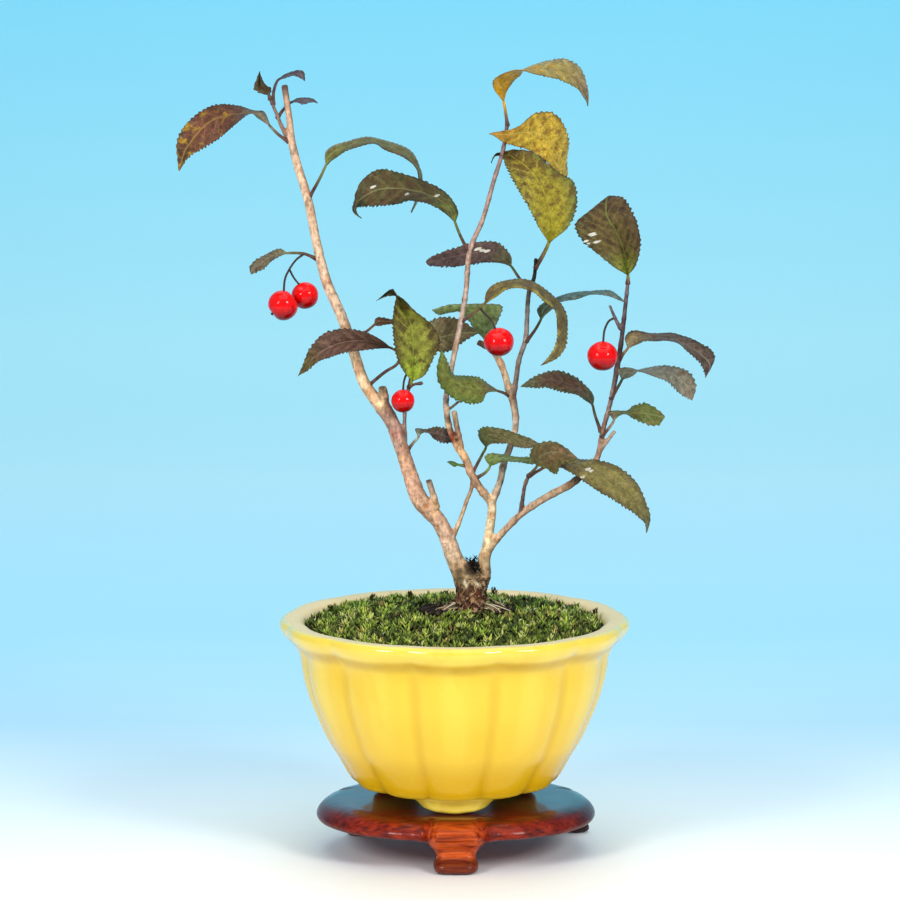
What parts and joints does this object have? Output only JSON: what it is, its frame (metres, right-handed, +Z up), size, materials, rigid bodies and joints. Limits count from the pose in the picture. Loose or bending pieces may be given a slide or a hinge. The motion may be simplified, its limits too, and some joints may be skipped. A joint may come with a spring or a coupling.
{
  "type": "winterberry holly bonsai",
  "caption": "Small twin-trunk holly bonsai with toothed leaves and red berries in a lobed yellow bowl on a carved three-footed wooden stand.",
  "frame": {"origin": "on the surface under the stand's feet, below the middle of the whole spread", "axes": "+Z up, -Y towards the viewer of the picture, +X to that viewer's right"},
  "size_m": [0.1958, 0.1306, 0.2949],
  "materials": {
    "wood": "dark red-brown lacquer",
    "glaze": "glossy lemon-yellow glaze",
    "net": "matt black",
    "soil": "dark crumbly grit",
    "moss": "soft living moss",
    "bark": "smooth to rough grey-tan bark",
    "green_leaf": "satin leaf",
    "plum_leaf": "satin leaf",
    "gold_leaf": "satin leaf",
    "fruit": "glossy red skin"
  },
  "bodies": {
    "root": {"stand": "wood", "pot": "glaze", "drain_net": "net", "soil": "soil", "moss": "moss", "stems": "bark", "leaf_01": "plum_leaf", "leaf_02": "plum_leaf", "leaf_03": "plum_leaf", "leaf_04": "plum_leaf", "leaf_05": "green_leaf", "leaf_06": "green_leaf", "leaf_07": "green_leaf", "leaf_08": "plum_leaf", "leaf_09": "green_leaf", "leaf_10": "plum_leaf", "leaf_11": "green_leaf", "leaf_12": "green_leaf", "leaf_13": "gold_leaf", "leaf_14": "plum_leaf", "leaf_15": "green_leaf", "leaf_16": "gold_leaf", "leaf_17": "gold_leaf", "leaf_18": "gold_leaf", "leaf_19": "plum_leaf", "leaf_20": "plum_leaf", "leaf_21": "plum_leaf", "leaf_22": "green_leaf", "leaf_23": "plum_leaf", "leaf_24": "green_leaf", "leaf_25": "green_leaf", "leaf_26": "green_leaf", "leaf_27": "green_leaf", "leaf_28": "green_leaf", "leaf_29": "plum_leaf", "leaf_30": "green_leaf", "fruit_1": "fruit", "fruit_2": "fruit", "fruit_3": "fruit", "fruit_4": "fruit", "fruit_5": "fruit"}
  },
  "joints": []
}
